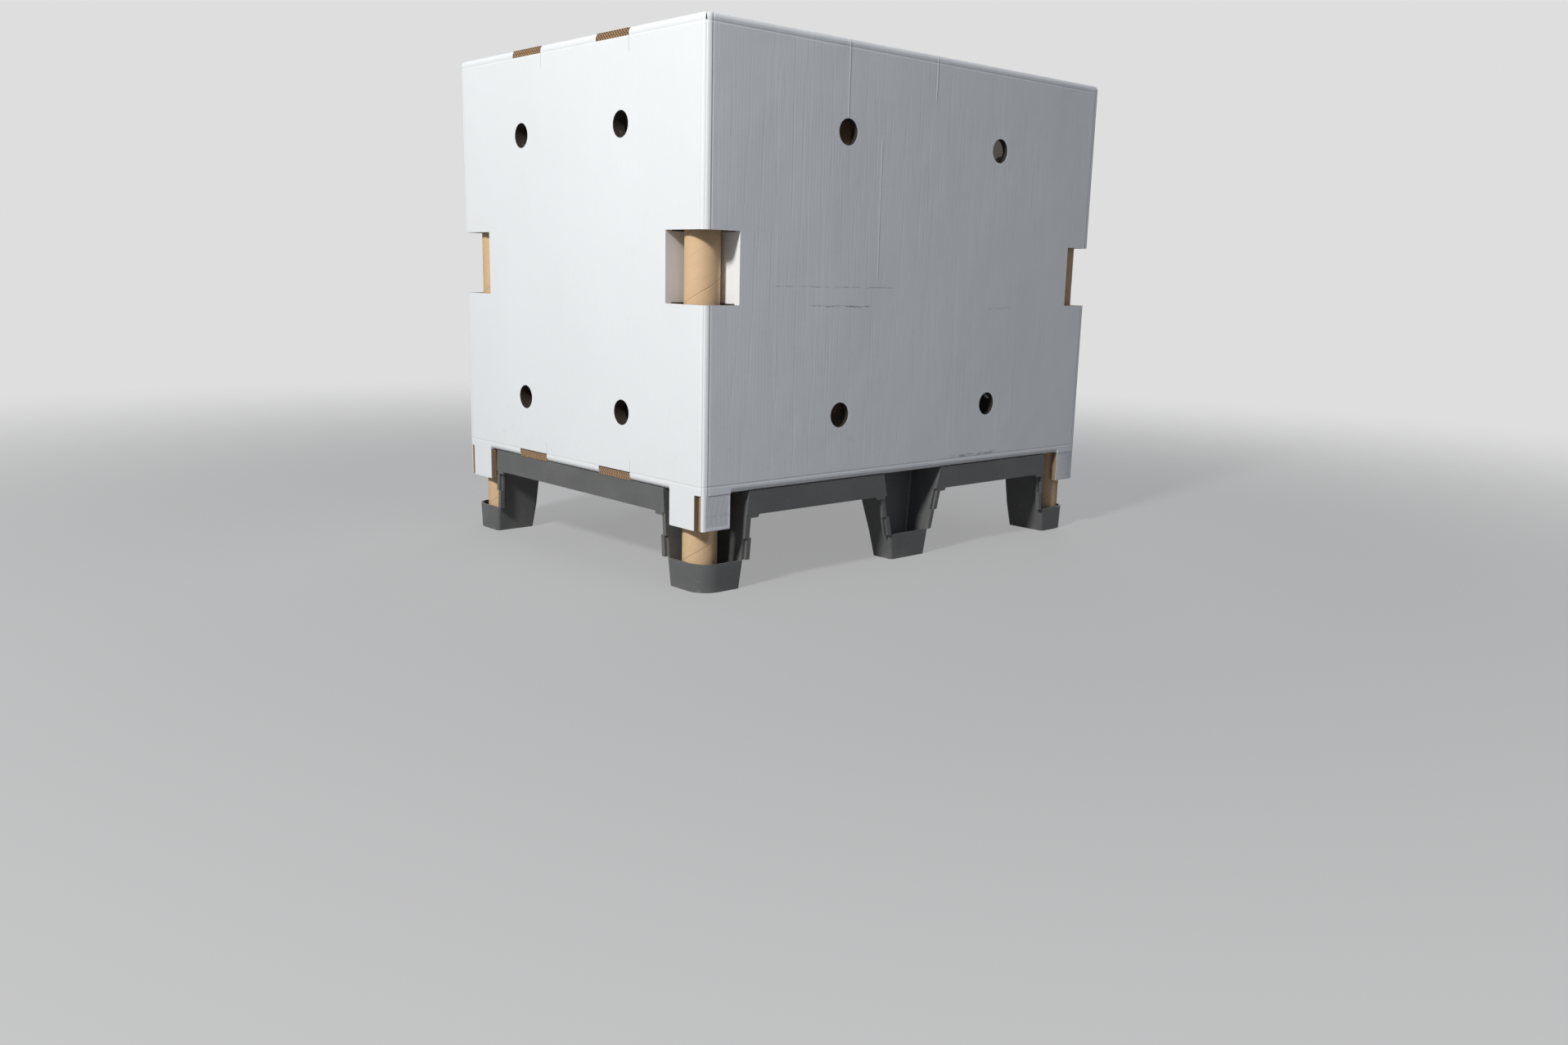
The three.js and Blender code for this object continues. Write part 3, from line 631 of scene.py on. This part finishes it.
def tape_sheet(name, node, columns=90, rows=70):
    """A film laid on the tab: its height is a sum of upright wrinkles, a lifted edge and a small curl."""
    look = scene_look("tape")
    low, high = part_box(node)
    across = np.linspace(0, 1, columns)[None, :]
    up = np.linspace(0, 1, rows)[:, None]
    wide, narrow = np.sin(31 * across + 2.2 * np.sin(4 * up)), np.sin(67 * across + 1.5 * up)
    wrinkle = 0.5 + 0.25 * wide + 0.25 * narrow
    lift = np.clip((across - 0.93) / 0.07, 0, 1) ** 2 * (0.4 + 0.6 * np.sin(9 * up) ** 2)
    curl = np.clip((0.1 - up) / 0.1, 0, 1) ** 2 * (0.5 + 0.5 * np.sin(13 * across))
    height = 0.0001 + look.wrinkle * (wrinkle * np.ones_like(up) + 1.2 * lift + curl)
    ragged = 0.0006 * np.sin(90 * across + 3) * np.clip((0.05 - up) / 0.05, 0, 1)
    x = low.x + (high.x - low.x) * across * np.ones_like(up)
    z = low.z + (high.z - low.z) * up + ragged
    points = np.stack([x, high.y - height, z], axis=-1).reshape(-1, 3)
    quads, row, column = grid_faces(rows, columns, False, False)
    mesh = mesh_from(name, points, quads)
    left, right = column / (columns - 1), (column + 1) / (columns - 1)
    bottom, top = row / (rows - 1), (row + 1) / (rows - 1)
    add_uv(mesh, np.stack([left, bottom, right, bottom, right, top, left, top], axis=-1))
    smooth_faces(mesh, 60)
    return bpy.data.objects.new(name, mesh)


class BoardLook(bpy.types.PropertyGroup):
    """Sizes and colours of the corrugated board."""

    white: bpy.props.FloatVectorProperty(
        name="White skin", description="Coated outer paper", subtype="COLOR",
        default=(0.868, 0.884, 0.874), min=0, max=1)
    brown: bpy.props.FloatVectorProperty(
        name="Brown paper", description="Inner paper and plies", subtype="COLOR",
        default=(0.47, 0.31, 0.175), min=0, max=1)
    dark_brown: bpy.props.FloatVectorProperty(
        name="Dark patches", description="Darker pulp in the brown paper", subtype="COLOR",
        default=(0.3, 0.185, 0.1), min=0, max=1)
    hollow: bpy.props.FloatVectorProperty(
        name="Hollows", description="Shade between the plies at a cut", subtype="COLOR",
        default=(0.09, 0.05, 0.028), min=0, max=1)
    # Painted shade: a dark colour for the inside and the vent bores, standing in for the shade that falls
    # there.
    inner: bpy.props.FloatVectorProperty(
        name="Inner face", description="Dark paper on the inside and in the vents", subtype="COLOR",
        default=(0.1, 0.089, 0.078), min=0, max=1)
    # Marks scuffed places, and also darkens the slit cuts as painted shade.
    smudge: bpy.props.FloatVectorProperty(
        name="Smudges", description="Scuffed places on the white skin", subtype="COLOR",
        default=(0.3, 0.3, 0.31), min=0, max=1)
    flute_pitch: bpy.props.FloatProperty(
        name="Flute pitch", description="Length of one wave",
        unit="LENGTH", default=0.0085, min=0.004, max=0.02)
    flute_layers: bpy.props.IntProperty(
        name="Flute layers", description="Waves through the tab's thickness", default=2, min=1, max=4)
    flute_recess: bpy.props.FloatProperty(
        name="Flute recess", description="Depth of the open flutes",
        unit="LENGTH", default=0.0035, min=0.001, max=0.01)
    cut_radius: bpy.props.FloatProperty(
        name="Cut edge radius", description="Rounding of cut edges",
        unit="LENGTH", default=0.0005, min=0, max=0.002)


class TubeLook(bpy.types.PropertyGroup):
    """Sizes and colours of the paper tubes."""

    paper: bpy.props.FloatVectorProperty(
        name="Paper", description="Outer ply", subtype="COLOR", default=(0.72, 0.5, 0.285), min=0, max=1)
    seam_pitch: bpy.props.FloatProperty(
        name="Seam pitch", description="Rise of the spiral in one turn",
        unit="LENGTH", default=0.125, min=0.05, max=0.3)
    ply_step: bpy.props.FloatProperty(
        name="Ply step", description="Height of the step at the seam",
        unit="LENGTH", default=0.0004, min=0, max=0.002)
    wall: bpy.props.FloatProperty(
        name="Wall", description="Wall thickness", unit="LENGTH", default=0.005, min=0.002, max=0.01)


class PalletLook(bpy.types.PropertyGroup):
    """Sizes and colours of the moulded pallet."""

    plastic: bpy.props.FloatVectorProperty(
        name="Plastic", description="Moulded plastic",
        subtype="COLOR", default=(0.118, 0.119, 0.116), min=0, max=1)
    scuff: bpy.props.FloatVectorProperty(
        name="Scuffs", description="Worn edges and scratches",
        subtype="COLOR", default=(0.34, 0.34, 0.33), min=0, max=1)
    dust: bpy.props.FloatVectorProperty(
        name="Dust", description="Pale dust near the ground",
        subtype="COLOR", default=(0.36, 0.34, 0.3), min=0, max=1)
    edge_radius: bpy.props.FloatProperty(
        name="Edge radius", description="Rounding of moulded edges",
        unit="LENGTH", default=0.0012, min=0, max=0.003)


class TapeLook(bpy.types.PropertyGroup):
    """Colour and wrinkles of the tape."""

    # Partly painted sheen: pale enough to stand in for part of the tape's glossy reflection.
    film: bpy.props.FloatVectorProperty(
        name="Film", description="Cloudy film", subtype="COLOR", default=(0.93, 0.945, 0.955), min=0, max=1)
    wrinkle: bpy.props.FloatProperty(
        name="Wrinkle height", description="Height of the wrinkles",
        unit="LENGTH", default=0.00015, min=0, max=0.001)


class StageLook(bpy.types.PropertyGroup):
    """Floor, background and lamps."""

    floor: bpy.props.FloatVectorProperty(
        name="Floor", description="Floor colour", subtype="COLOR", default=(0.3, 0.3, 0.3), min=0, max=1)
    background: bpy.props.FloatVectorProperty(
        name="Background", description="Backdrop colour",
        subtype="COLOR", default=(0.73, 0.73, 0.73), min=0, max=1)
    ambient: bpy.props.FloatVectorProperty(
        name="Ambient", description="Light from all round",
        subtype="COLOR", default=(0.133, 0.146, 0.19), min=0, max=1)
    key_power: bpy.props.FloatProperty(
        name="Key lamp", description="Power of the soft lamp",
        subtype="POWER", default=322.0, min=0, max=2000)
    fill_power: bpy.props.FloatProperty(
        name="Fill lamp", description="Power of the weak lamp behind",
        subtype="POWER", default=80.0, min=0, max=2000)


class PALLETBOX_OT_sleeve(bpy.types.Operator):
    """Dress the folded board sleeve"""

    bl_idname = "palletbox.sleeve"
    bl_label = "Board sleeve"

    def execute(self, context):
        sleeve = stitched_sheet("board_sleeve")
        smooth_faces(sleeve.data, 30)
        soften_edges(sleeve, scene_look("board").cut_radius, 40)
        link_piece(sleeve, "white_board", board_finish("white_board", True), *SHEET_PANELS)
        return {"FINISHED"}


class PALLETBOX_OT_liners(bpy.types.Operator):
    """Dress the end liners and the open flutes of their tabs"""

    bl_idname = "palletbox.liners"
    bl_label = "End liners"

    def execute(self, context):
        material = board_finish("kraft_board", False)
        recess = scene_look("board").flute_recess
        for end in (1, 2):
            liner = merged_copy(f"end_liner_{end}", f"end_liner_board_{end}")
            count = len(liner.data.vertices)
            place = np.empty(count * 3, np.float32)
            liner.data.vertices.foreach_get("co", place)
            place = place.reshape(-1, 3)
            at_end = np.abs(place[:, 0]) > LINER_FACE - 0.0003
            if not at_end.any():
                raise RuntimeError("the liner has no tab end at its face")
            place[at_end, 0] -= np.sign(place[at_end, 0]) * recess
            liner.data.vertices.foreach_set("co", place.ravel())
            link_piece(liner, "kraft_board", material, f"end_liner_{end}")
        paper = Finish("cut_paper", Roughness=0.85)
        look = scene_look("board")
        paper.feed("Base Color", brown_paper(paper, look.brown, look.dark_brown))
        paper.relief(paper.noise(600.0, 2.0) * 0.0001)
        link_piece(fluted_ends("tab_flutes"), "kraft_board", paper.material)
        return {"FINISHED"}


class PALLETBOX_OT_tubes(bpy.types.Operator):
    """Build the four spiral-wound paper tubes"""

    bl_idname = "palletbox.tubes"
    bl_label = "Paper tubes"

    def execute(self, context):
        material = tube_finish()
        for corner in range(1, 5):
            node = f"corner_tube_{corner}"
            link_piece(spiral_tube(f"paper_tube_{corner}", node), "tube_paper", material, node)
        return {"FINISHED"}


class PALLETBOX_OT_pallet(bpy.types.Operator):
    """Dress the moulded pallet with rounded edges"""

    bl_idname = "palletbox.pallet"
    bl_label = "Moulded pallet"

    def execute(self, context):
        pallet = merged_copy("pallet", "moulded_pallet")
        smooth_faces(pallet.data, 30)
        soften_edges(pallet, scene_look("pallet").edge_radius, 35)
        link_piece(pallet, "pallet_plastic", plastic_finish(), "pallet")
        return {"FINISHED"}


class PALLETBOX_OT_tape(bpy.types.Operator):
    """Lay the wrinkled tape over the leg tab"""

    bl_idname = "palletbox.tape"
    bl_label = "Tape"

    def execute(self, context):
        tape = tape_sheet("tape_sheet", "leg_tape")
        film = tape.modifiers.new("film_thickness", "SOLIDIFY")
        film.thickness = 0.0001
        film.offset = 0.0
        link_piece(tape, "tape", film_finish(), "leg_tape")
        return {"FINISHED"}


class PALLETBOX_OT_stage(bpy.types.Operator):
    """Add the floor, the light and the camera"""

    bl_idname = "palletbox.stage"
    bl_label = "Stage"

    def execute(self, context):
        look = scene_look("stage")
        self.add_floor(look)
        self.add_world(look)
        self.add_lamp("key", 0.8, look.key_power, KEY_PLACE)
        self.add_lamp("fill", 3.0, look.fill_power, FILL_PLACE)
        self.add_camera()
        context.scene.view_settings.view_transform = "Standard"
        return {"FINISHED"}

    def add_floor(self, look):
        ring = np.array([0.0, 2.0, 4.0, 8.0, 16.0, 30.0])[:, None]
        angle = np.linspace(0, 2 * math.pi, 64, endpoint=False)
        flat = np.stack([ring * np.cos(angle), ring * np.sin(angle), 0 * ring * angle], axis=-1)
        quads, _, _ = grid_faces(len(ring), 64, False, True)
        floor = bpy.data.objects.new("floor", mesh_from("floor", flat.reshape(-1, 3), quads))
        bpy.context.scene.collection.objects.link(floor)
        finish = Finish("floor", Base_Color=look.floor, Roughness=0.9, Specular_IOR_Level=0.1)
        away = (finish.x * finish.x + finish.y * finish.y).root().rise(1.2, 4.5)
        seen = finish.add("ShaderNodeLightPath").outputs
        shown = Value(finish, seen["Is Camera Ray"]).most(Value(finish, seen["Is Glossy Ray"]))
        shown = shown.most(Value(finish, seen["Is Transmission Ray"]))
        glow = finish.add("ShaderNodeEmission", None, {"Color": look.background, "Strength": 1.0})
        factor = (0.45 + 0.55 * away) * shown
        sockets = {0: factor, 1: finish.shader.outputs[0], 2: glow.outputs[0]}
        blend = finish.add("ShaderNodeMixShader", None, sockets)
        finish.fill(finish.output.inputs["Surface"], blend.outputs[0])
        floor.data.materials.append(finish.material)

    def add_world(self, look):
        world = bpy.data.worlds.new("studio")
        world.use_nodes = True
        tree = world.node_tree
        tree.nodes.clear()
        path = tree.nodes.new("ShaderNodeLightPath")
        seen = [path.outputs[name] for name in ("Is Camera Ray", "Is Glossy Ray", "Is Transmission Ray")]
        total = seen[0]
        for socket in seen[1:]:
            either = tree.nodes.new("ShaderNodeMath")
            either.operation = "MAXIMUM"
            tree.links.new(total, either.inputs[0])
            tree.links.new(socket, either.inputs[1])
            total = either.outputs[0]
        colour = tree.nodes.new("ShaderNodeMix")
        colour.data_type = "RGBA"
        tree.links.new(total, colour.inputs[0])
        colour.inputs[6].default_value = (*look.ambient, 1.0)
        colour.inputs[7].default_value = (*look.background, 1.0)
        background = tree.nodes.new("ShaderNodeBackground")
        tree.links.new(colour.outputs[2], background.inputs["Color"])
        output = tree.nodes.new("ShaderNodeOutputWorld")
        tree.links.new(background.outputs[0], output.inputs["Surface"])
        bpy.context.scene.world = world

    def add_lamp(self, name, size, power, place):
        lamp = bpy.data.lights.new(name, "AREA")
        lamp.shape = "DISK"
        lamp.size = size
        lamp.energy = power
        obj = bpy.data.objects.new(name, lamp)
        obj.location = place
        aim = Vector(LAMP_TARGET) - obj.location
        obj.rotation_euler = aim.to_track_quat("-Z", "Y").to_euler()
        bpy.context.scene.collection.objects.link(obj)

    def add_camera(self):
        camera = bpy.data.cameras.new("camera")
        camera.sensor_width = SENSOR
        camera.lens = PHOTO_FOCAL * SENSOR / PHOTO_WIDTH
        camera.shift_y = TOP_MARGIN_PX / PHOTO_WIDTH
        camera.clip_end = 100.0
        obj = bpy.data.objects.new("camera", camera)
        turn = np.array([CAMERA_RIGHT, np.negative(CAMERA_DOWN), np.negative(CAMERA_FORWARD)]).T
        obj.matrix_world = Matrix.Translation(CAMERA_PLACE) @ Matrix(turn.tolist()).to_4x4()
        bpy.context.scene.collection.objects.link(obj)
        bpy.context.scene.camera = obj


STEPS = ("sleeve", "liners", "tubes", "pallet", "tape", "stage")


class PALLETBOX_PT_panel(bpy.types.Panel):
    """Lists the steps that build the pallet box"""

    bl_idname = "PALLETBOX_PT_panel"
    bl_label = "Pallet box"
    bl_space_type = "VIEW_3D"
    bl_region_type = "UI"
    bl_category = "Pallet box"

    def draw(self, context):
        for step in STEPS:
            self.layout.operator("palletbox." + step)


LOOKS = {"board": BoardLook, "tube": TubeLook, "pallet": PalletLook, "tape": TapeLook, "stage": StageLook}
OPERATORS = (
    PALLETBOX_OT_sleeve,
    PALLETBOX_OT_liners,
    PALLETBOX_OT_tubes,
    PALLETBOX_OT_pallet,
    PALLETBOX_OT_tape,
    PALLETBOX_OT_stage,
)


def register():
    for name, look in LOOKS.items():
        bpy.utils.register_class(look)
        setattr(bpy.types.Scene, "palletbox_" + name, bpy.props.PointerProperty(type=look))
    for operator in (*OPERATORS, PALLETBOX_PT_panel):
        bpy.utils.register_class(operator)


def unregister():
    for operator in (PALLETBOX_PT_panel, *reversed(OPERATORS)):
        bpy.utils.unregister_class(operator)
    for name, look in reversed(LOOKS.items()):
        delattr(bpy.types.Scene, "palletbox_" + name)
        bpy.utils.unregister_class(look)


def main():
    register()
    for step in STEPS:
        getattr(bpy.ops.palletbox, step)()


if __name__ == "__main__":
    main()
